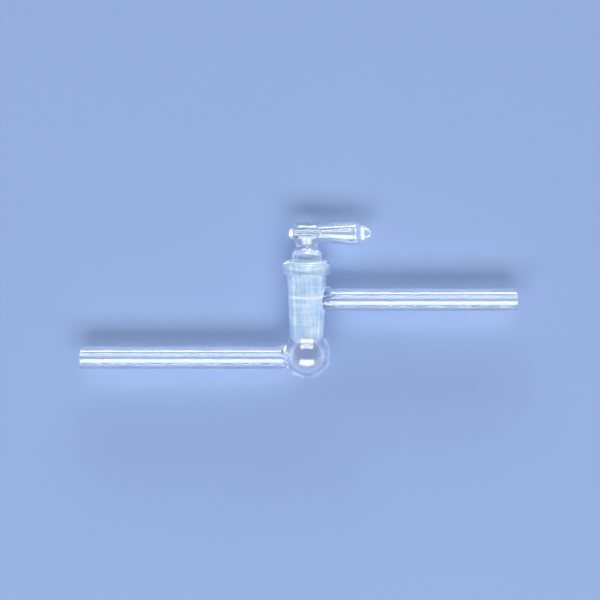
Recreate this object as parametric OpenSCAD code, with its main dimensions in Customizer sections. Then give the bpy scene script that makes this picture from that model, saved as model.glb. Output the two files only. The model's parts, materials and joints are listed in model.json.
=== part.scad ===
// Glass stopcock with a bottom outlet: a hollow ground plug turns in a tapered barrel.
// The right arm opens into the barrel's side, through a port that the plug's own port meets.
// The left arm leaves the bulb below the barrel, where the plug's open foot empties.
// Two pieces of clear glass: the barrel with its bulb and arms, all sealed together, and the plug.
//
// The stopcock lies on its side, as it rests on a bench. X runs along the arms, Y along the plug's
// axis towards the handle, and Z is up. The origin is on the bench, under the middle of the outline.

/* [Side arms] */
// Outside diameter of both side arms
arm_d = 10; // [8:0.5:11]
// Bore of both side arms
arm_bore_d = 4.6; // [4:0.2:6]
// Reach of the right arm from the plug's axis to its open end
right_reach = 92.4; // [50:0.2:140]
// Reach of the left arm from the plug's axis to its open end
left_reach = 100; // [50:0.5:140]
// Distance along the plug's axis from the right arm's axis to the left arm's
arm_offset = 25.8; // [24.5:0.1:27]
// Radius of the fire-polished edges at the arms' open ends
polish_r = 0.5; // [0.2:0.1:0.8]

/* [Right arm's seal] */
// Diameter of the flare where the right arm meets the barrel
root_d = 14.6; // [13:0.2:15.6]
// Radius of the right arm's flare
root_fillet_r = 4.6; // [3:0.2:6]
// Length over which the right arm's bore narrows to the port
funnel_length = 4.4; // [3:0.2:8]

/* [Barrel] */
// Diameter of the ground seat at the top of the collar
seat_d = 14.5; // [14:0.1:15]
// Length of seat over which its diameter falls by 1
seat_taper = 10; // [8:0.5:14]
// Wall of the barrel outside the ground seat
barrel_wall = 1.9; // [1.6:0.05:2.4]
// Height of the collar's top over the right arm's axis
head_height = 17; // [15:0.5:20]
// Depth of the barrel's lip below the right arm's axis
foot_depth = 18.8; // [18.6:0.1:19.6]
// Width of the lip's root, where it leaves the bulb's roof
lip_width = 1.5; // [1.2:0.1:1.8]
// Outside diameter of the collar
collar_d = 21; // [20:0.2:21.6]
// Height of the collar
collar_height = 5.6; // [4:0.2:7]
// Radius of the collar's upper edge
collar_top_r = 1.9; // [1:0.1:2]
// Radius of the collar's lower edge
collar_under_r = 1.2; // [0.6:0.1:1.4]
// Diameter of the port between the right arm and the seat, and of the plug's port
port_d = 3.2; // [2:0.2:3.6]

/* [Bulb] */
// Outside diameter of the bulb
bulb_d = 21.8; // [21.6:0.1:23]
// Wall of the bulb
bulb_wall = 1.6; // [1.2:0.1:1.8]
// Depth of the bulb's centre below the right arm's axis
bulb_depth = 24.2; // [23.8:0.1:24.8]
// Radius of the seal between the bulb and the barrel
bulb_fillet_r = 1.2; // [0.6:0.1:2]
// Diameter of the left arm's flare on the bulb
outlet_root_d = 12; // [11.4:0.2:13]
// Radius of the left arm's flare
outlet_fillet_r = 1.6; // [1.2:0.2:3]

/* [Plug] */
// Radial clearance between the ground plug and its seat
plug_clearance = 0.03; // [0.02:0.01:0.06]
// Wall of the hollow plug
plug_wall = 1.4; // [1:0.1:1.8]
// How far the plug's open foot stops short of the barrel's lip
plug_foot_gap = 0.6; // [0.2:0.1:1.2]
// How far the ground surface stops below the collar's top
ground_margin = 0.6; // [0.4:0.1:1.5]
// Diameter of the clear shoulder above the ground surface
shoulder_d = 13.6; // [12.6:0.2:13.8]
// Height of the shoulder's rounded edge over the collar's top
shoulder_height = 4; // [3:0.2:4.4]
// Diameter of the shoulder at its rounded edge, where it has drawn in a little
shoulder_edge_d = 12.8; // [12:0.1:13]
// Wall of the shoulder, which is thicker than the cone's
shoulder_wall = 2; // [1.6:0.1:2.4]
// Diameter of the waist between the shoulder and the handle
waist_d = 8.6; // [7.4:0.2:9.4]
// Height of the waist over the collar's top
waist_height = 6.8; // [6.2:0.2:7.2]
// Diameter of the channel through the waist
channel_d = 1.8; // [1.2:0.2:2.2]

/* [Handle] */
// Height of the handle's axis over the collar's top
handle_height = 12.4; // [11.8:0.2:14]
// Diameter of the handle's heel, above the waist
heel_d = 10.2; // [9:0.2:10.6]
// Reach of the heel's pointed end from the plug's axis
heel_reach = 7.9; // [7:0.1:9]
// Distance of the heel's shoulder from the plug's axis, where its point begins
heel_shoulder = 3.9; // [3.4:0.1:4.3]
// Diameter of the pinch between the heel and the grip
pinch_d = 8.2; // [7:0.2:8.6]
// Distance of the pinch from the plug's axis
pinch_at = 5.3; // [4.8:0.1:6]
// Largest diameter of the grip
grip_d = 10.9; // [10:0.1:12]
// Distance of the grip's widest place from the plug's axis
grip_at = 21.2; // [18:0.2:24]
// Reach of the grip's drawn tip from the plug's axis
grip_reach = 27.9; // [26.6:0.1:32]
// Diameter of the grip's drawn tip
tip_d = 2.8; // [2:0.2:3.6]
// Diameter of the hollow in the heel
heel_hollow_d = 3; // [2.4:0.2:4]
// Reach of the heel's hollow from the plug's axis, towards its point
heel_hollow_reach = 5.2; // [4.4:0.1:5.6]
// Diameter of the hollow at the pinch
pinch_hollow_d = 2.2; // [1.6:0.2:3]
// Largest diameter of the hollow in the grip
grip_hollow_d = 5.4; // [4:0.2:6.4]

/* [Hidden] */

// Roundness of every turned surface, and the turn of each step along a rounded edge
$fn = 96;
arc_step = 7.5;
// How far a cut runs past the face that it opens
past = 1;

// Radii
arm_r = arm_d / 2;
arm_bore_r = arm_bore_d / 2;
port_r = port_d / 2;
bulb_r = bulb_d / 2;
bulb_inner_r = bulb_r - bulb_wall;
collar_r = collar_d / 2;
waist_r = waist_d / 2;
channel_r = channel_d / 2;

// The taper's slope, and the radii that follow it at a height over the right arm's axis
slope = 1 / (2 * seat_taper);
function seat_r(height) = seat_d / 2 + slope * (height - head_height);
function barrel_r(height) = seat_r(height) + barrel_wall;
function ground_r(height) = seat_r(height) - plug_clearance;
function hollow_r(height) = ground_r(height) - plug_wall;

// Heights on the plug's axis, over the right arm's axis
collar_under = head_height - collar_height;
plug_foot = plug_foot_gap - foot_depth;
ground_top = head_height - ground_margin;
shoulder_edge = head_height + shoulder_height;
waist = head_height + waist_height;
handle_axis = head_height + handle_height;
bulb_centre = [0, -bulb_depth];

// ---- Outlines ----
// An outline is a list of [radius, place along the axis]. A third number rounds that corner.

function arc(centre, r, from, to) =
    let (steps = max(2, ceil(abs(to - from) / arc_step)))
    [for (k = [0:steps]) let (a = from + (to - from) * k / steps) centre + r * [cos(a), sin(a)]];

// The corner at b between a and c, rounded to its radius or to what its shorter side has room for
function corner(a, b, c) =
    let (
        to_a = [a[0] - b[0], a[1] - b[1]],
        to_c = [c[0] - b[0], c[1] - b[1]],
        u = to_a / norm(to_a),
        v = to_c / norm(to_c),
        half_angle = acos(u * v) / 2,
        room = min(norm(to_a), norm(to_c)) / 2,
        reach = min(b[2] / tan(half_angle), room),
        r = reach * tan(half_angle),
        centre = [b[0], b[1]] + (u + v) / norm(u + v) * r / sin(half_angle),
        start = [b[0], b[1]] + u * reach - centre,
        end = [b[0], b[1]] + v * reach - centre,
        from = atan2(start[1], start[0]),
        turn = (atan2(end[1], end[0]) - from + 540) % 360 - 180
    )
    arc(centre, r, from, from + turn);

function rounded(points) = [
    for (i = [0:len(points) - 1])
        let (p = points[i])
        each len(p) < 3 ? [p] : corner(points[i - 1], p, points[i + 1])
];

// A flare that widens a tube from its own radius to a rim, with the rim at the given place
function flare(tube_r, rim_r, fillet_r, rim_at) =
    let (
        rise = min(rim_r - tube_r, fillet_r),
        sweep = acos(1 - rise / fillet_r),
        tube_at = rim_at + fillet_r * sin(sweep)
    )
    arc([tube_r + fillet_r, tube_at], fillet_r, 180 + sweep, 180);

// The half-round edge of a bore's mouth, and the cut above it
function mouth(bore_r, edge_r, face) = concat(
    arc([bore_r + edge_r, face - edge_r], edge_r, 180, 90),
    [[bore_r + edge_r, face + past], [0, face + past]]
);

module turned_on_plug_axis(outline) {
    rotate([-90, 0, 0])
        rotate_extrude()
            polygon(outline);
}

module turned_on_arm_axis(outline, height = 0, turn = 0) {
    translate([0, height, 0])
        rotate([0, 0, turn])
            rotate([0, 90, 0])
                rotate_extrude()
                    polygon(outline);
}

// ---- Barrel ----

// Centre of the seal's fillet, which touches the barrel's taper and the bulb
seal_reach = bulb_r + bulb_fillet_r;
seal_base = barrel_r(-bulb_depth) + bulb_fillet_r * sqrt(1 + slope * slope);
seal_rise = on_taper(seal_base, seal_reach);
seal_centre = [seal_base + slope * seal_rise, seal_rise - bulb_depth];
seal_angle = atan2(seal_rise, seal_centre[0]);

// How far over the bulb's centre a line on the taper, at base_r there, meets a circle about it
function on_taper(base_r, circle_r) =
    let (lean = 1 + slope * slope, push = base_r * slope)
    (sqrt(push * push - lean * (base_r * base_r - circle_r * circle_r)) - push) / lean;

// The collar leaves the taper in a hollow corner
collar_root_r = 0.6;

// The bulb, the seal, the taper and the collar, as one outline from the bulb's foot to the top
barrel_outside = rounded(concat(
    arc(bulb_centre, bulb_r, -90, seal_angle),
    arc(seal_centre, bulb_fillet_r, 180 + seal_angle, 180 - atan(slope)),
    [
        [barrel_r(collar_under), collar_under, collar_root_r],
        [collar_r, collar_under, collar_under_r],
        [collar_r, head_height, collar_top_r],
        [0, head_height]
    ]
));

// The lip hangs from the bulb's roof, wide at its root and drawn in to a blunt edge
lip_root_r = seat_r(-foot_depth) + lip_width;
lip_root = sqrt(bulb_inner_r * bulb_inner_r - lip_root_r * lip_root_r) - bulb_depth;
lip_edge_r = 0.3;
lip_edge_width = 2 * lip_edge_r;

// The ground seat and the bulb's inside, as one outline round the lip
barrel_inside = rounded(concat(
    arc(bulb_centre, bulb_inner_r, -90, atan2(lip_root + bulb_depth, lip_root_r)),
    [
        [seat_r(-foot_depth) + lip_edge_width, -foot_depth, lip_edge_r],
        [seat_r(-foot_depth), -foot_depth, lip_edge_r]
    ],
    mouth(seat_r(head_height), polish_r, head_height)
));

right_arm_outside = rounded(concat(
    [[0, 0], [root_d / 2, 0]],
    flare(arm_r, root_d / 2, root_fillet_r, barrel_r(0)),
    [[arm_r, right_reach, polish_r], [0, right_reach]]
));

right_arm_inside = rounded(concat(
    [
        [0, 0],
        [port_r, 0],
        [port_r, barrel_r(0), funnel_length],
        [arm_bore_r, barrel_r(0) + funnel_length, funnel_length]
    ],
    mouth(arm_bore_r, polish_r, right_reach)
));

// The left arm's flare starts where its rim just leaves the bulb, on the side nearer its centre
outlet_rim = sqrt(pow(bulb_r, 2) - pow(outlet_root_d / 2 - abs(arm_offset - bulb_depth), 2));

left_arm_outside = rounded(concat(
    [[0, 0], [outlet_root_d / 2, 0]],
    flare(arm_r, outlet_root_d / 2, outlet_fillet_r, outlet_rim - outlet_fillet_r / 2),
    [[arm_r, left_reach, polish_r], [0, left_reach]]
));

left_arm_inside = concat(
    [[0, 0], [arm_bore_r, 0]],
    mouth(arm_bore_r, polish_r, left_reach)
);

// The barrel, its bulb and both arms: separate tubes, sealed in the flame into one piece
module barrel() {
    color([0.74, 0.85, 0.96])
        on_bench()
            difference() {
                union() {
                    turned_on_plug_axis(barrel_outside);
                    turned_on_arm_axis(right_arm_outside);
                    turned_on_arm_axis(left_arm_outside, -arm_offset, 180);
                }
                turned_on_plug_axis(barrel_inside);
                turned_on_arm_axis(right_arm_inside);
                turned_on_arm_axis(left_arm_inside, -arm_offset, 180);
            }
}

// ---- Plug ----

shoulder_r = shoulder_d / 2;
shoulder_edge_r = shoulder_edge_d / 2;
// Roundings at the shoulder, at the waist and at both ends of the ground cone
shoulder_round_r = 4;
waist_fillet_r = 0.6;
ground_edge_r = 0.4;

plug_outside = rounded([
    [0, plug_foot],
    [ground_r(plug_foot), plug_foot, ground_edge_r],
    [ground_r(ground_top), ground_top, ground_edge_r],
    [shoulder_r, ground_top + ground_edge_r, ground_edge_r],
    [shoulder_edge_r, shoulder_edge, shoulder_round_r],
    [waist_r, waist, waist_fillet_r],
    [waist_r, handle_axis],
    [0, handle_axis]
]);

// The hollow follows the cone, closes in a dome under the waist and goes on as a fine channel
dome_spring = head_height - plug_wall / 2;
dome_edge = shoulder_edge - plug_wall / 2;
dome_edge_r = shoulder_edge_r - shoulder_wall;
dome_rise = 1.1;
dome_round_r = 1.4;
channel_round_r = 0.7;

plug_inside = rounded([
    [0, plug_foot - past],
    [hollow_r(plug_foot - past), plug_foot - past],
    [hollow_r(dome_spring), dome_spring, dome_round_r],
    [dome_edge_r, dome_edge, dome_round_r],
    [channel_r, dome_edge + dome_rise, channel_round_r],
    [channel_r, handle_axis],
    [0, handle_axis]
]);

// ---- Handle, part of the plug ----

heel_r = heel_d / 2;
grip_r = grip_d / 2;
tip_r = tip_d / 2;
pinch_r = pinch_d / 2;
// Roundings of the heel's point, of its end at the pinch, and in the pinch itself
heel_point_r = 1.2;
heel_round_r = 1.7;
pinch_edge_r = 0.5;
// Roundings of the grip and of its drawn tip
grip_round_r = 2.8;
tip_round_r = 0.9;
// The grip's end falls in two slopes to its tip, and this share of its length is the first
first_slope = 0.45;
tip_shoulder = grip_at + first_slope * (grip_reach - grip_at);
tip_shoulder_r = (grip_r + tip_r) / 2;

handle_outside = rounded([
    [0, -heel_reach],
    [heel_point_r, -heel_reach, heel_point_r],
    [heel_r, -heel_shoulder, heel_point_r],
    [heel_r, pinch_at - heel_round_r, heel_round_r],
    [pinch_r, pinch_at, pinch_edge_r],
    [grip_r, grip_at, grip_round_r],
    [tip_shoulder_r, tip_shoulder, grip_round_r],
    [tip_r, grip_reach, tip_round_r],
    [0, grip_reach]
]);

heel_hollow_r = heel_hollow_d / 2;
pinch_hollow_r = pinch_hollow_d / 2;
grip_hollow_r = grip_hollow_d / 2;
// The grip's hollow ends in a blunt face, where the solid tip was drawn off
hollow_end_r = 1.35;

handle_inside = rounded([
    [0, -heel_hollow_reach],
    [heel_hollow_r, -heel_hollow_reach, heel_hollow_r],
    [heel_hollow_r, pinch_at - heel_hollow_r, heel_hollow_r],
    [pinch_hollow_r, pinch_at, pinch_hollow_r],
    [grip_hollow_r, grip_at - grip_hollow_r, grip_hollow_r],
    [grip_hollow_r, grip_at, hollow_end_r],
    [0, grip_at]
]);

// The hollow plug: a ground cone, a clear shoulder, a waist and the handle, blown as one piece
module plug() {
    color([0.86, 0.93, 0.99])
        on_bench()
            difference() {
                union() {
                    turned_on_plug_axis(plug_outside);
                    turned_on_arm_axis(handle_outside, handle_axis);
                }
                turned_on_plug_axis(plug_inside);
                turned_on_arm_axis(handle_inside, handle_axis);
                // The port, which faces the right arm while the stopcock is open
                rotate([0, 90, 0])
                    cylinder(h = seat_d, r = port_r);
            }
}

// ---- Place on the bench ----

// The handle's top and the lower of the bulb's and the left arm's undersides bound the outline in Y
outline_top = handle_axis + max([for (p = handle_outside) p[0]]);
outline_foot = min(-bulb_depth - bulb_r, -arm_offset - outlet_root_d / 2);

module on_bench() {
    translate([
        (left_reach - right_reach) / 2,
        -(outline_top + outline_foot) / 2,
        max(bulb_r, collar_r)
    ])
        children();
}

barrel();
plug();
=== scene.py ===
import json
from math import atan, atan2, cos, degrees, hypot, pi, radians, sin, sqrt, tan

import bpy
from mathutils import Euler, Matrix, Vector


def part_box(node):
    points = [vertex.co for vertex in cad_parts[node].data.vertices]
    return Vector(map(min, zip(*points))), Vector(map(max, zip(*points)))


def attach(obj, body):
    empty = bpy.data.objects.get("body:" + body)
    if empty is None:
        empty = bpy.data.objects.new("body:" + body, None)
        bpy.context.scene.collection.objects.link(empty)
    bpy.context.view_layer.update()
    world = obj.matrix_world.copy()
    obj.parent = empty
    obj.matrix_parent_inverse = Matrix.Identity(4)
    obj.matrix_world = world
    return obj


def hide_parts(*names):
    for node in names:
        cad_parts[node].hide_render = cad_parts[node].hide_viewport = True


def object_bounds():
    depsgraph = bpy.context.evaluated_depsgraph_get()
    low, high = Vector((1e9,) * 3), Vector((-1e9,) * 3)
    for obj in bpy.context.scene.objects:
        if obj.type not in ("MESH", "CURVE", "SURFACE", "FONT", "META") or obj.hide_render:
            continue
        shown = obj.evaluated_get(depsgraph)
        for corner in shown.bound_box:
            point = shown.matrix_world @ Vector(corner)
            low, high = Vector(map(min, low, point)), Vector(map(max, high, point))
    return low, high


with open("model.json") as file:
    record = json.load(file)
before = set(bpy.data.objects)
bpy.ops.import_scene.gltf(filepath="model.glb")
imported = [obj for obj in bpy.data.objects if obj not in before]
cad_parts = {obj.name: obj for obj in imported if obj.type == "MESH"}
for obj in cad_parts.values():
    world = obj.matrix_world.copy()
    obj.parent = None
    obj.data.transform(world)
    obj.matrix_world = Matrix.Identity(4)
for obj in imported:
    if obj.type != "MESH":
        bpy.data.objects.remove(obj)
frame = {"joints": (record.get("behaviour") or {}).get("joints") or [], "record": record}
cad_low, cad_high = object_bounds()

# ---- The barrel ----
# One piece of clear borosilicate glass: a tapered barrel with a rolled collar, a blown bulb at its
# foot and two side arms of plain tube. The tubes are turned in a flame and sealed to each other,
# and the seat inside the taper is ground with fine grit for the plug.

mm = 0.001
mounts = {mount["name"]: mount for mount in frame["record"]["mounts"]}
axis_x, arm_level, axis_z = frame["joints"][0]["pos_m"]
left_arm_level = mounts["left_arm_outside"]["pos_m"][1]
arm_r = mounts["right_arm_outside"]["dims"]["r_mm"] * mm
arm_bore_r = mounts["right_arm_bore"]["dims"]["r_mm"] * mm
barrel_low, barrel_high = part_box("barrel")

collar_top = barrel_high.y
collar_height = 5.6 * mm
collar_under = collar_top - collar_height
collar_r = 10.5 * mm
collar_top_r = 1.9 * mm
collar_under_r = 1.2 * mm
collar_root_r = 0.6 * mm
seat_top_r = 7.25 * mm
seat_slope = 1 / 20
barrel_wall = 1.9 * mm
lip_level = arm_level - 18.8 * mm
lip_root_width = 1.5 * mm
lip_edge_r = 0.3 * mm
bulb_r = (barrel_high.z - barrel_low.z) / 2
bulb_level = barrel_low.y + bulb_r
bulb_wall = 1.6 * mm
bulb_inner_r = bulb_r - bulb_wall
bulb_seal_r = 1.2 * mm
left_seal_r = 0.9 * mm
port_r = 1.6 * mm
funnel_length = 4.4 * mm
polish_r = 0.5 * mm

# How finely the glass is turned: its sides, those of a narrow bore, the degrees in a step along an arc, and
# the longest step along a straight stretch
around = 96
bore_sides = 64
arc_step, bulb_step, polish_step = 7.5, 4, 15
tube_step, seat_step = 2 * mm, 1 * mm
taper_rings = 48

# How far a cut runs past the face that it opens, and the distance within which two points are one
past = 1 * mm
tiny = 0.001 * mm


def seat_r(level):
    return seat_top_r + seat_slope * (level - collar_top)


def barrel_r(level):
    return seat_r(level) + barrel_wall


def arc(centre, r, start, end, step=arc_step):
    """Points along an arc in an outline, with its angles in degrees."""
    steps = max(2, round(abs(end - start) / step))
    angles = [radians(start + (end - start) * k / steps) for k in range(steps + 1)]
    return [(centre[0] + r * cos(a), centre[1] + r * sin(a)) for a in angles]


def rounded(points):
    """An outline of (radius, level) in which a third number rounds its corner."""
    out = []
    for i, p in enumerate(points):
        if len(p) < 3:
            out.append(p)
            continue
        corner = Vector(p[:2])
        back, on = Vector(points[i - 1][:2]) - corner, Vector(points[i + 1][:2]) - corner
        half = back.angle(on) / 2
        reach = min(p[2] / tan(half), min(back.length, on.length) / 2)
        r = reach * tan(half)
        middle = corner + (back.normalized() + on.normalized()).normalized() * r / sin(half)
        start, end = [corner + side.normalized() * reach - middle for side in (back, on)]
        first = degrees(atan2(start.y, start.x))
        turn = (degrees(atan2(end.y, end.x)) - first + 540) % 360 - 180
        out += arc(middle, r, first, first + turn)
    return out


def mouth(bore_r, edge_r, face):
    """The fire-polished edge of an opening, and the cut past its face."""
    edge = arc((bore_r + edge_r, face - edge_r), edge_r, 180, 90)
    return edge + [(bore_r + edge_r, face + past), (0, face + past)]


def stepped(outline, longest):
    """The outline with more points along its long straight stretches, so light runs true on them."""
    out = [outline[0]]
    for (r0, l0), (r1, l1) in zip(outline, outline[1:]):
        n = max(1, round(hypot(r1 - r0, l1 - l0) / longest))
        out += [(r0 + (r1 - r0) * k / n, l0 + (l1 - l0) * k / n) for k in range(1, n + 1)]
    return out


def turned(name, outline, steps, place):
    """The outline drawn as a line from one point, then spun round the axis that place puts it on."""
    points = [place(p) for p in outline]
    centre = place([0, 0])
    axis = place([0, 1]) - centre
    bpy.ops.object.select_all(action="DESELECT")
    bpy.ops.mesh.primitive_plane_add(size=mm, location=points[0])
    piece = bpy.context.object
    piece.name = piece.data.name = name
    bpy.ops.object.transform_apply(location=True, rotation=True, scale=True)
    bpy.ops.object.mode_set(mode="EDIT")
    bpy.ops.mesh.select_mode(type="VERT")
    bpy.ops.mesh.select_all(action="SELECT")
    bpy.ops.mesh.merge(type="CENTER")
    for here, there in zip(points, points[1:]):
        bpy.ops.mesh.extrude_vertices_move(TRANSFORM_OT_translate={"value": there - here})
    bpy.ops.mesh.select_all(action="SELECT")
    bpy.ops.mesh.spin(steps=steps, angle=2 * pi, center=centre, axis=axis)
    bpy.ops.mesh.select_all(action="SELECT")
    bpy.ops.mesh.remove_doubles(threshold=tiny)
    bpy.ops.mesh.normals_make_consistent(inside=False)
    bpy.ops.object.mode_set(mode="OBJECT")
    return piece


def on_plug_axis(p):
    return Vector((axis_x + p[0], p[1], axis_z))


def on_right_arm(p):
    return Vector((p[1], arm_level + p[0], axis_z))


def on_left_arm(p):
    return Vector((-p[1], left_arm_level + p[0], axis_z))


def pick(piece, *others):
    """Selects the pieces and no others, and makes the first one active."""
    bpy.ops.object.select_all(action="DESELECT")
    for one in (piece, *others):
        one.select_set(True)
    bpy.context.view_layer.objects.active = piece


def opened(piece, patch):
    """Takes the faces of a patch out of the piece's wall, and counts the edges of the rim that is left."""
    pick(piece)
    bpy.ops.object.mode_set(mode="EDIT")
    bpy.ops.mesh.select_mode(type="FACE")
    bpy.ops.mesh.select_all(action="DESELECT")
    bpy.ops.object.mode_set(mode="OBJECT")
    for face in piece.data.polygons:
        face.select = patch(face.center)
    bpy.ops.object.mode_set(mode="EDIT")
    bpy.ops.mesh.delete(type="FACE")
    bpy.ops.object.mode_set(mode="OBJECT")
    sides = [key for face in piece.data.polygons for key in face.edge_keys]
    return 2 * len(piece.data.edges) - len(sides)


def sealed(piece, branch, rings):
    """Draws the glass in rings, from the rim of an opening in the piece to the open root of a branch."""
    pick(piece, branch)
    bpy.ops.object.join()
    bpy.ops.object.mode_set(mode="EDIT")
    bpy.ops.mesh.select_mode(type="EDGE")
    bpy.ops.mesh.select_all(action="DESELECT")
    bpy.ops.mesh.select_non_manifold(extend=False, use_wire=False, use_multi_face=False,
                                     use_non_contiguous=False, use_verts=False)
    bpy.ops.mesh.bridge_edge_loops(number_cuts=rings, interpolation="LINEAR")
    bpy.ops.mesh.select_all(action="SELECT")
    bpy.ops.mesh.normals_make_consistent(inside=False)
    bpy.ops.object.mode_set(mode="OBJECT")


def rolled(a, b, r):
    """How far a point is outside two surfaces, a and b away from it, with a fillet of r between them."""
    return max(r, min(a, b)) - hypot(max(r - a, 0), max(r - b, 0))


def settled(piece, zone, outside, most_moves=12, least_slope=0.1):
    """The glass in the zone sinks or swells until it lies on the surface where outside is 0."""
    nudges = [Vector((tiny, 0, 0)), Vector((0, tiny, 0)), Vector((0, 0, tiny))]
    for v in piece.data.vertices:
        if not zone(v.co):
            continue
        for _ in range(most_moves):
            off = outside(v.co)
            if abs(off) < tiny:
                break
            slope = Vector([(outside(v.co + n) - off) / tiny for n in nudges])
            v.co -= slope * (off / max(slope.length_squared, least_slope))
    piece.data.update()


def hollowed(piece, *hollows):
    """Each hollow, a solid of the space inside the glass, is cut out of the piece."""
    for hollow in hollows:
        cut = piece.modifiers.new("hollow", "BOOLEAN")
        cut.operation, cut.solver, cut.object = "DIFFERENCE", "EXACT", hollow
        pick(piece)
        bpy.ops.object.modifier_apply(modifier=cut.name)
        bpy.data.objects.remove(hollow)


# The bulb, its seal to the barrel, the taper and the collar: the seal's arc touches the bulb's circle and the
# barrel's straight taper, so its centre is a root of a quadratic
bulb_centre = (0, bulb_level)
seal_reach = bulb_r + bulb_seal_r
seal_base = barrel_r(bulb_level) + bulb_seal_r
seal_lean = 1 + seat_slope ** 2
seal_push = seal_base * seat_slope
seal_rise = (sqrt(seal_push ** 2 - seal_lean * (seal_base ** 2 - seal_reach ** 2)) - seal_push) / seal_lean
seal_centre = (seal_base + seat_slope * seal_rise, bulb_level + seal_rise)
seal_angle = degrees(atan2(seal_rise, seal_centre[0]))
seal_top = seal_centre[1] + seat_slope * bulb_seal_r
taper = [seal_top + (collar_under - seal_top) * k / taper_rings for k in range(1, taper_rings)]
barrel = turned("glass_barrel", rounded(
    arc(bulb_centre, bulb_r, -90, seal_angle, bulb_step)
    + arc(seal_centre, bulb_seal_r, 180 + seal_angle, 180 - degrees(atan(seat_slope)))
    + [(barrel_r(level), level) for level in taper]
    + [(barrel_r(collar_under), collar_under, collar_root_r),
       (collar_r, collar_under, collar_under_r),
       (collar_r, collar_top, collar_top_r),
       (seat_top_r, collar_top),
       (0, collar_top)]),
    around, on_plug_axis)

# The right arm, and the flare where it is sealed to the taper. The flare is wider on the collar's side than
# on the bulb's, and is drawn out twice as far along the arm there.
flare_width = 1.6 * mm
flare_widening = 0.6 * mm
flare_length = 2.2 * mm
right_patch_turn = radians(61)
right_patch_down = 8 * mm
right_patch_up = 9 * mm
right_seal_rings = 18
right_seal_reach = 10 * mm
right_root = axis_x + barrel_r(arm_level) + 5 * mm


def right_seal(p):
    """How far a point is outside the taper and the arm, with the flare between them."""
    from_wall = hypot(p.x - axis_x, p.z - axis_z) - barrel_r(p.y)
    from_axis = hypot(p.y - arm_level, p.z - axis_z)
    upward = (1 + (p.y - arm_level) / from_axis) / 2
    width = flare_width + flare_widening * upward
    length = flare_length + flare_length * upward
    return rolled(from_wall * width / length, from_axis - arm_r, width)


def right_patch(c):
    """The patch of the taper's wall that makes way for the arm."""
    turn = atan2(abs(c.z - axis_z), c.x - axis_x)
    return turn < right_patch_turn and -right_patch_down < c.y - arm_level < right_patch_up


def near_right_seal(p):
    return axis_x < p.x < right_root + past and abs(p.y - arm_level) < right_seal_reach


def tube(name, root, end, steps, place):
    """A side arm's outside, open at its root and closed at its polished end."""
    edge = arc((arm_r - polish_r, end - polish_r), polish_r, 0, 90, polish_step)
    return turned(name, stepped([(arm_r, root)] + edge + [(0, end)], tube_step), steps, place)


rim = opened(barrel, right_patch)
sealed(barrel, tube("right_arm", right_root, barrel_high.x, rim, on_right_arm), right_seal_rings)
settled(barrel, near_right_seal, right_seal)

# The left arm, sealed to the bulb with a tight fillet
left_patch_turn = radians(44)
left_patch_down = radians(54)
left_patch_up = radians(32)
left_seal_rings = 10
left_seal_inset = 4 * mm
left_root = bulb_r - axis_x + 2 * mm


def left_seal(p, to_bulb=bulb_r, to_arm=arm_r, r=left_seal_r):
    """How far a point is outside the bulb and the arm, with the fillet between them."""
    from_bulb = (p - Vector((axis_x, bulb_level, axis_z))).length - to_bulb
    return rolled(from_bulb, hypot(p.y - left_arm_level, p.z - axis_z) - to_arm, r)


def left_patch(c):
    """The patch of the bulb's wall that makes way for the arm."""
    turn = atan2(abs(c.z - axis_z), axis_x - c.x)
    rise = atan2(c.y - bulb_level, hypot(c.x - axis_x, c.z - axis_z))
    return turn < left_patch_turn and -left_patch_down < rise < left_patch_up


def near_left_seal(p, rise=8 * mm):
    return -left_root - past < p.x < axis_x - left_seal_inset and p.y < bulb_level + rise


rim = opened(barrel, left_patch)
sealed(barrel, tube("left_arm", left_root, -barrel_low.x, rim, on_left_arm), left_seal_rings)
settled(barrel, near_left_seal, left_seal)

# The space inside: the ground seat down to its drawn-in lip, the bulb, and the bores of both arms. The left
# bore opens into the bulb round an edge that keeps the wall's thickness.
lip_r = seat_r(lip_level)
lip_root_r = lip_r + lip_root_width
lip_root = sqrt(bulb_inner_r ** 2 - lip_root_r ** 2)
bore_root = axis_x + barrel_r(arm_level)


def left_opening(p):
    return left_seal(p, bulb_inner_r, arm_bore_r, left_seal_r + bulb_r - bulb_inner_r)


def near_left_opening(p):
    return near_left_seal(p, rise=5 * mm)


space = turned("seat_and_bulb", stepped(rounded(
    arc(bulb_centre, bulb_inner_r, -90, degrees(atan2(lip_root, lip_root_r)), bulb_step)
    + [(lip_r + 2 * lip_edge_r, lip_level, lip_edge_r),
       (lip_r, lip_level, lip_edge_r)]
    + mouth(seat_r(collar_top), polish_r, collar_top)),
    seat_step), around, on_plug_axis)
rim = opened(space, left_patch)
left_bore = turned("left_bore", stepped(
    [(arm_bore_r, left_root)]
    + mouth(arm_bore_r, polish_r, -barrel_low.x),
    tube_step), rim, on_left_arm)
sealed(space, left_bore, left_seal_rings)
settled(space, near_left_opening, left_opening)
right_bore = turned("right_bore", stepped(rounded(
    [(0, axis_x),
     (port_r, axis_x),
     (port_r, bore_root, funnel_length),
     (arm_bore_r, bore_root + funnel_length, funnel_length)]
    + mouth(arm_bore_r, polish_r, barrel_high.x)),
    tube_step), bore_sides, on_right_arm)
hollowed(barrel, space, right_bore)


def on_seat(c, near_seat=0.06 * mm, near_top=0.01 * mm):
    """The seat and the flat top of the collar are ground."""
    from_axis = hypot(c.x - axis_x, c.z - axis_z)
    seat = abs(from_axis - seat_r(c.y)) < near_seat and lip_level < c.y < collar_top - polish_r
    return seat or (c.y > collar_top - near_top and from_axis < collar_r)


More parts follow.
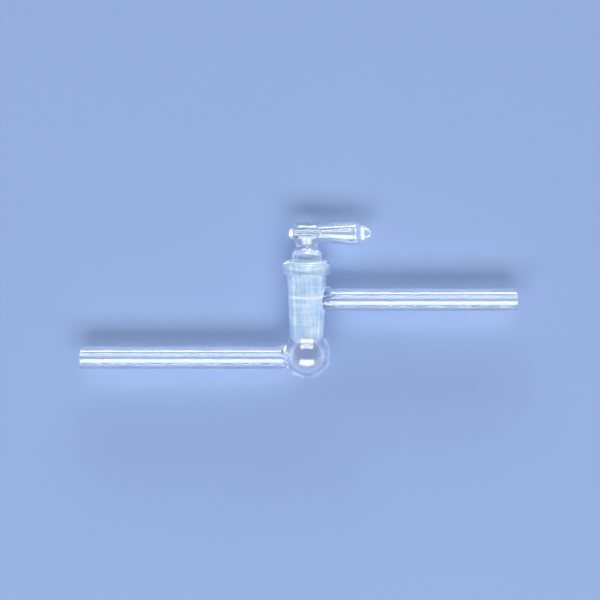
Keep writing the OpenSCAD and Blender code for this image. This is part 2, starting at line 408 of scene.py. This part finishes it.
# Clear fire-polished glass: a trace of dust, and the faint waves of drawn tube
glass_ior = 1.47
clear_glass = bpy.data.materials.new("clear_glass")
clear_glass.use_nodes = True
nodes, links = clear_glass.node_tree.nodes, clear_glass.node_tree.links
glass = nodes["Principled BSDF"]
glass.inputs["Base Color"].default_value = (0.98, 0.99, 1, 1)
glass.inputs["Transmission Weight"].default_value = 1
glass.inputs["IOR"].default_value = glass_ior
glass.inputs["Coat Weight"].default_value = 1
glass.inputs["Coat Roughness"].default_value = 0
place = nodes.new("ShaderNodeTexCoord")
wave = nodes.new("ShaderNodeTexNoise")
wave.inputs["Scale"].default_value = 60
wave.inputs["Detail"].default_value = 0
bump = nodes.new("ShaderNodeBump")
bump.inputs["Strength"].default_value = 0.01
bump.inputs["Distance"].default_value = 0.1 * mm
dust = nodes.new("ShaderNodeTexNoise")
dust.inputs["Scale"].default_value = 400
dust.inputs["Detail"].default_value = 4
film = nodes.new("ShaderNodeMapRange")
film.inputs["From Min"].default_value, film.inputs["From Max"].default_value = 0.5, 0.8
film.inputs["To Min"].default_value, film.inputs["To Max"].default_value = 0.0, 0.05
links.new(place.outputs["Object"], wave.inputs["Vector"])
links.new(wave.outputs["Fac"], bump.inputs["Height"])
links.new(bump.outputs["Normal"], glass.inputs["Normal"])
links.new(place.outputs["Object"], dust.inputs["Vector"])
links.new(dust.outputs["Fac"], film.inputs["Value"])
links.new(film.outputs["Result"], glass.inputs["Roughness"])

# Glass ground with fine grit: milky and matt, cloudier in patches, with faint rings and streaks from lapping,
# and a painted highlight: a white ring level with the port's upper edge, painted in where a bright streak of
# light crosses the seat. A Mix node takes its two values at inputs 2 and 3, and its two colours at 6 and 7.
bluish_milk = (0.46, 0.64, 0.83, 1)
white_milk = (0.76, 0.85, 0.92, 1)
# The painted highlight's white, and the distances from the port's upper edge over which it fades out
painted_highlight_white = (0.94, 0.94, 1, 1)
ring_inner, ring_outer = 0.3 * mm, 0.8 * mm
ground_glass = bpy.data.materials.new("ground_glass")
ground_glass.use_nodes = True
nodes, links = ground_glass.node_tree.nodes, ground_glass.node_tree.links
glass = nodes["Principled BSDF"]
glass.inputs["Transmission Weight"].default_value = 0.01
glass.inputs["IOR"].default_value = glass_ior
glass.inputs["Specular IOR Level"].default_value = 0
place = nodes.new("ShaderNodeTexCoord")
rings = nodes.new("ShaderNodeMapping")
rings.inputs["Scale"].default_value = (90, 1400, 90)
streaks = nodes.new("ShaderNodeMapping")
streaks.inputs["Scale"].default_value = (1200, 90, 1200)
turned_grain, drawn_grain = nodes.new("ShaderNodeTexNoise"), nodes.new("ShaderNodeTexNoise")
for grain, way in (turned_grain, rings), (drawn_grain, streaks):
    grain.inputs["Scale"].default_value = 1
    grain.inputs["Detail"].default_value = 2
    links.new(place.outputs["Object"], way.inputs["Vector"])
    links.new(way.outputs["Vector"], grain.inputs["Vector"])
lapped, milky = nodes.new("ShaderNodeMix"), nodes.new("ShaderNodeMix")
lapped.inputs["Factor"].default_value = 0.5
milky.inputs["Factor"].default_value = 0.55
matt = nodes.new("ShaderNodeMapRange")
matt.inputs["To Min"].default_value, matt.inputs["To Max"].default_value = 0.4, 0.6
cloud = nodes.new("ShaderNodeTexNoise")
cloud.inputs["Scale"].default_value = 160
cloud.inputs["Detail"].default_value = 3
milk = nodes.new("ShaderNodeValToRGB")
milk.color_ramp.elements[0].position, milk.color_ramp.elements[0].color = 0.42, bluish_milk
milk.color_ramp.elements[1].position, milk.color_ramp.elements[1].color = 0.58, white_milk
height = nodes.new("ShaderNodeSeparateXYZ")
# The painted highlight: a white band mixed into the base colour, strongest level with the port's upper edge
from_port = nodes.new("ShaderNodeMath")
from_port.operation = "SUBTRACT"
from_port.inputs[1].default_value = arm_level + port_r
beside = nodes.new("ShaderNodeMath")
beside.operation = "ABSOLUTE"
painted_highlight_fade = nodes.new("ShaderNodeMapRange")
painted_highlight_fade.interpolation_type = "SMOOTHSTEP"
painted_highlight_fade.inputs["From Min"].default_value, painted_highlight_fade.inputs["From Max"].default_value = ring_inner, ring_outer
painted_highlight_fade.inputs["To Min"].default_value, painted_highlight_fade.inputs["To Max"].default_value = 1, 0
white = nodes.new("ShaderNodeMix")
white.data_type = "RGBA"
white.inputs[7].default_value = painted_highlight_white
links.new(turned_grain.outputs["Fac"], lapped.inputs[2])
links.new(drawn_grain.outputs["Fac"], lapped.inputs[3])
links.new(lapped.outputs[0], matt.inputs["Value"])
links.new(matt.outputs["Result"], glass.inputs["Roughness"])
links.new(place.outputs["Object"], cloud.inputs["Vector"])
links.new(cloud.outputs["Fac"], milky.inputs[2])
links.new(lapped.outputs[0], milky.inputs[3])
links.new(milky.outputs[0], milk.inputs["Fac"])
links.new(place.outputs["Object"], height.inputs["Vector"])
links.new(height.outputs["Y"], from_port.inputs[0])
links.new(from_port.outputs["Value"], beside.inputs[0])
links.new(beside.outputs["Value"], painted_highlight_fade.inputs["Value"])
links.new(painted_highlight_fade.outputs["Result"], white.inputs["Factor"])
links.new(milk.outputs["Color"], white.inputs[6])
links.new(white.outputs[2], glass.inputs["Base Color"])


def finished(piece, ground, body, node, sharp=radians(30)):
    """Clear glass all over but for the ground faces, smooth, and carried by its body in the node's place."""
    piece.data.materials.clear()
    piece.data.materials.append(clear_glass)
    piece.data.materials.append(ground_glass)
    for face in piece.data.polygons:
        face.material_index = int(ground(face.center))
    pick(piece)
    bpy.ops.object.shade_smooth_by_angle(angle=sharp)
    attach(piece, body)
    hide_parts(node)


finished(barrel, on_seat, "barrel", "barrel")

# ---- The plug ----
# The hollow key that turns in the seat, blown in one piece from the same glass. Its cone is ground to
# fit and open at the foot, with one port through its wall, and a hollow handle is sealed across the neck.

plug_clearance = 0.03 * mm
plug_wall = 1.4 * mm
foot = arm_level - 18.2 * mm
ground_top = arm_level + 16.4 * mm
ground_edge_r = 0.4 * mm
shoulder_r = 6.8 * mm
shoulder_edge_r = 6.4 * mm
shoulder_edge = arm_level + 21 * mm
shoulder_round = 4 * mm
waist = arm_level + 23.8 * mm
waist_r = 4.3 * mm
waist_round = 0.6 * mm
neck_root = arm_level + 22.7 * mm
neck_seal_r = 1.3 * mm
neck_seal_rings = 10
neck_seal_reach = 8 * mm
channel_r = 0.9 * mm
plug_step = 0.8 * mm

# The handle, measured along its own axis from the plug's: its heel, the pinch between heel and grip, the
# grip, and the grip's drawn tip
handle_level = arm_level + 29.4 * mm
heel_reach = 7.9 * mm
heel_shoulder = 3.9 * mm
heel_end = 4.1 * mm
heel_r = 5.1 * mm
heel_round = 1.2 * mm
heel_end_round = 1 * mm
pinch_at = 5.3 * mm
pinch_r = 4.1 * mm
pinch_round = 0.3 * mm
grip_at = 21.2 * mm
grip_r = 5.45 * mm
grip_round = 2.8 * mm
tip_root = 24.2 * mm
tip_root_r = 3.43 * mm
tip_at = 27.9 * mm
tip_r = 1.4 * mm
tip_round = 0.9 * mm
handle_step = 0.6 * mm
neck_patch_reach = 5.4 * mm
neck_patch_level = handle_level - 1.9 * mm


def ground_r(level):
    return seat_r(level) - plug_clearance


def clear_of(outline, at):
    """How far a point at (radius, level) is outside a turned outline that runs upwards."""
    nearest, side = 1, 1
    for (r0, l0), (r1, l1) in zip(outline, outline[1:]):
        run = Vector((r1 - r0, l1 - l0))
        way = Vector((at[0] - r0, at[1] - l0))
        off = way - run * min(max(way.dot(run) / run.length_squared, 0), 1)
        if off.length < nearest:
            nearest, side = off.length, way.x * run.y - way.y * run.x
    return nearest if side > 0 else -nearest


def on_handle(p):
    return Vector((axis_x + p[1], handle_level + p[0], axis_z))


# The outsides of the key and of the handle, and the seal between them
key = stepped(rounded([
    (0, foot),
    (ground_r(foot), foot, ground_edge_r),
    (ground_r(ground_top), ground_top, ground_edge_r),
    (shoulder_r, ground_top + ground_edge_r, ground_edge_r),
    (shoulder_edge_r, shoulder_edge, shoulder_round),
    (waist_r, waist, waist_round),
    (waist_r, handle_level)]), plug_step)
handle = stepped(rounded([
    (0, -heel_reach),
    (heel_round, -heel_reach, heel_round),
    (heel_r, -heel_shoulder, heel_round),
    (heel_r, heel_end, heel_end_round),
    (pinch_r, pinch_at, pinch_round),
    (grip_r, grip_at, grip_round),
    (tip_root_r, tip_root, grip_round),
    (tip_r, tip_at, tip_round),
    (0, tip_at)]), handle_step)


def neck_patch(c):
    """The patch under the handle's heel that makes way for the neck."""
    return abs(c.x - axis_x) < neck_patch_reach and c.y < neck_patch_level


def neck_seal(p):
    """How far a point is outside the handle and the key, with the fillet between them."""
    from_handle = clear_of(handle, (hypot(p.y - handle_level, p.z - axis_z), p.x - axis_x))
    from_key = clear_of(key, (hypot(p.x - axis_x, p.z - axis_z), p.y))
    return rolled(from_handle, from_key, neck_seal_r)


def near_neck_seal(p):
    return neck_root - past < p.y < handle_level and abs(p.x - axis_x) < neck_seal_reach


plug = turned("glass_plug", handle, around, on_handle)
rim = opened(plug, neck_patch)
cone = turned("cone", [p for p in key if p[1] < neck_root], rim, on_plug_axis)
sealed(plug, cone, neck_seal_rings)
settled(plug, near_neck_seal, neck_seal)

# The space inside: the cone's, up through a narrow channel into the handle's, and the port
foot_bore_r = ground_r(foot) - plug_wall
cone_bore_r = ground_r(ground_top) - plug_wall
cone_bore_top = ground_top - 0.1 * mm
roof_edge = shoulder_edge - 0.6 * mm
roof_edge_r = 5.2 * mm
roof_edge_round = 2.5 * mm
roof = shoulder_edge + 0.8 * mm
roof_round = 0.7 * mm
heel_hollow_reach = 5.2 * mm
heel_hollow_end = 4.5 * mm
heel_hollow_r = 1.5 * mm
heel_hollow_round = 0.6 * mm
throat_r = 0.9 * mm
grip_hollow_root = 6.1 * mm
grip_hollow_root_r = 1.25 * mm
grip_hollow_root_round = 0.8 * mm
grip_hollow_r = 2.7 * mm
port_reach = axis_x + 9 * mm
cone_hollow = turned("cone_hollow", stepped(
    [(0, foot - past),
     (foot_bore_r + polish_r, foot - past)]
    + arc((foot_bore_r + polish_r, foot + polish_r), polish_r, -90, -180)
    + rounded([
        (foot_bore_r, foot + 2 * polish_r),
        (cone_bore_r, cone_bore_top, plug_wall),
        (roof_edge_r, roof_edge, roof_edge_round),
        (channel_r, roof, roof_round),
        (channel_r, handle_level),
        (0, handle_level)]),
    plug_step), around, on_plug_axis)
handle_hollow = turned("handle_hollow", stepped(rounded([
    (0, -heel_hollow_reach),
    (heel_hollow_r, -heel_hollow_reach, heel_hollow_r),
    (heel_hollow_r, heel_hollow_end, heel_hollow_round),
    (throat_r, pinch_at, pinch_round),
    (grip_hollow_root_r, grip_hollow_root, grip_hollow_root_round),
    (grip_hollow_r, grip_at - grip_hollow_r, grip_hollow_r),
    (grip_hollow_r, grip_at, grip_hollow_r / 2),
    (0, grip_at)]), plug_step), bore_sides, on_handle)
port = turned("port", [
    (0, axis_x),
    (port_r, axis_x),
    (port_r, port_reach),
    (0, port_reach)], bore_sides, on_right_arm)
hollowed(plug, cone_hollow, handle_hollow, port)

# The grinding runs a little way up the shoulder, where it shows above the collar
ground_shoulder = arm_level + 18.6 * mm
ground_shoulder_r = 6.5 * mm


def on_cone(c, near_cone=0.02 * mm):
    """The cone and the foot of the shoulder are ground."""
    from_axis = hypot(c.x - axis_x, c.z - axis_z)
    cone = abs(from_axis - ground_r(c.y)) < near_cone and foot + ground_edge_r < c.y < ground_top
    return cone or (from_axis > ground_shoulder_r and ground_top - ground_edge_r < c.y < ground_shoulder)


finished(plug, on_cone, "plug", "plug")

# ---- The floor ----
# A plain sheet of pale blue paper, level with the lowest place of the glass, and wide enough to fill the view
# from every side.
floor_width = 6
bpy.ops.object.select_all(action="DESELECT")
bpy.ops.mesh.primitive_plane_add(size=floor_width, location=(0, 0, cad_low.z))
floor = bpy.context.object
floor.name = "floor"
pale_paper = bpy.data.materials.new("pale_paper")
pale_paper.use_nodes = True
paper = pale_paper.node_tree.nodes["Principled BSDF"]
paper.inputs["Base Color"].default_value = (0.25, 0.36, 0.62, 1)
paper.inputs["Roughness"].default_value = 0.9
floor.data.materials.append(pale_paper)

# ---- The light ----
# A white room, brightest low down where its walls are, and soft boxes: a wide one above the near edge of
# the bench and low ones behind it and at its ends, so that clear glass shows its edges.
wall_top, ceiling = radians(5), radians(25)
wall_strength, ceiling_strength = 1, 0.35
world = bpy.data.worlds.new("white_room")
world.use_nodes = True
nodes, links = world.node_tree.nodes, world.node_tree.links
nodes["Background"].inputs["Color"].default_value = (1, 1, 1, 1)
place = nodes.new("ShaderNodeTexCoord")
height = nodes.new("ShaderNodeSeparateXYZ")
walls = nodes.new("ShaderNodeMapRange")
walls.interpolation_type = "SMOOTHSTEP"
walls.inputs["From Min"].default_value, walls.inputs["From Max"].default_value = sin(wall_top), sin(ceiling)
walls.inputs["To Min"].default_value, walls.inputs["To Max"].default_value = wall_strength, ceiling_strength
links.new(place.outputs["Generated"], height.inputs["Vector"])
links.new(height.outputs["Z"], walls.inputs["Value"])
links.new(walls.outputs["Result"], nodes["Background"].inputs["Strength"])
bpy.context.scene.world = world


def soft_box(name, side, height, width, length, radiance, distance=2):
    """A long lamp that faces the object from one side: side and height are its bearings in degrees."""
    facing = Euler((radians(height - 90), 0, radians(side)))
    towards = Vector((0, 0, -distance))
    towards.rotate(facing)
    bpy.ops.object.light_add(type="AREA", location=-towards, rotation=facing)
    lamp = bpy.context.object
    lamp.name = name
    lamp.data.shape = "RECTANGLE"
    lamp.data.size, lamp.data.size_y = length, width
    lamp.data.energy = radiance * pi * width * length


soft_box("near_box", side=180, height=55, width=1, length=2.5, radiance=5)
soft_box("far_box", side=0, height=14, width=0.48, length=1.8, radiance=10)
soft_box("left_box", side=90, height=5, width=0.3, length=1.6, radiance=1.5)
soft_box("right_box", side=-90, height=5, width=0.3, length=1.6, radiance=1.5)

# ---- The camera ----
# A long lens over the bench, leaning a little towards the handle's side. Light crosses many walls of glass
# on its way to the lens, so it is given many bounces and isn't blurred between them.
tilt, distance, view_width = radians(8), 0.9, 0.264
aside = 0.8 * mm
bounces = 32
middle = (cad_low + cad_high) / 2
viewpoint = middle + Vector((aside, distance * sin(tilt), distance * cos(tilt)))
bpy.ops.object.camera_add(location=viewpoint, rotation=(-tilt, 0, 0))
camera = bpy.context.object
camera.data.lens = camera.data.sensor_width * distance / view_width
scene = bpy.context.scene
scene.camera = camera
scene.view_settings.view_transform = "Standard"
scene.cycles.max_bounces = bounces
scene.cycles.transmission_bounces = bounces
scene.cycles.glossy_bounces = bounces
scene.cycles.blur_glossy = 0
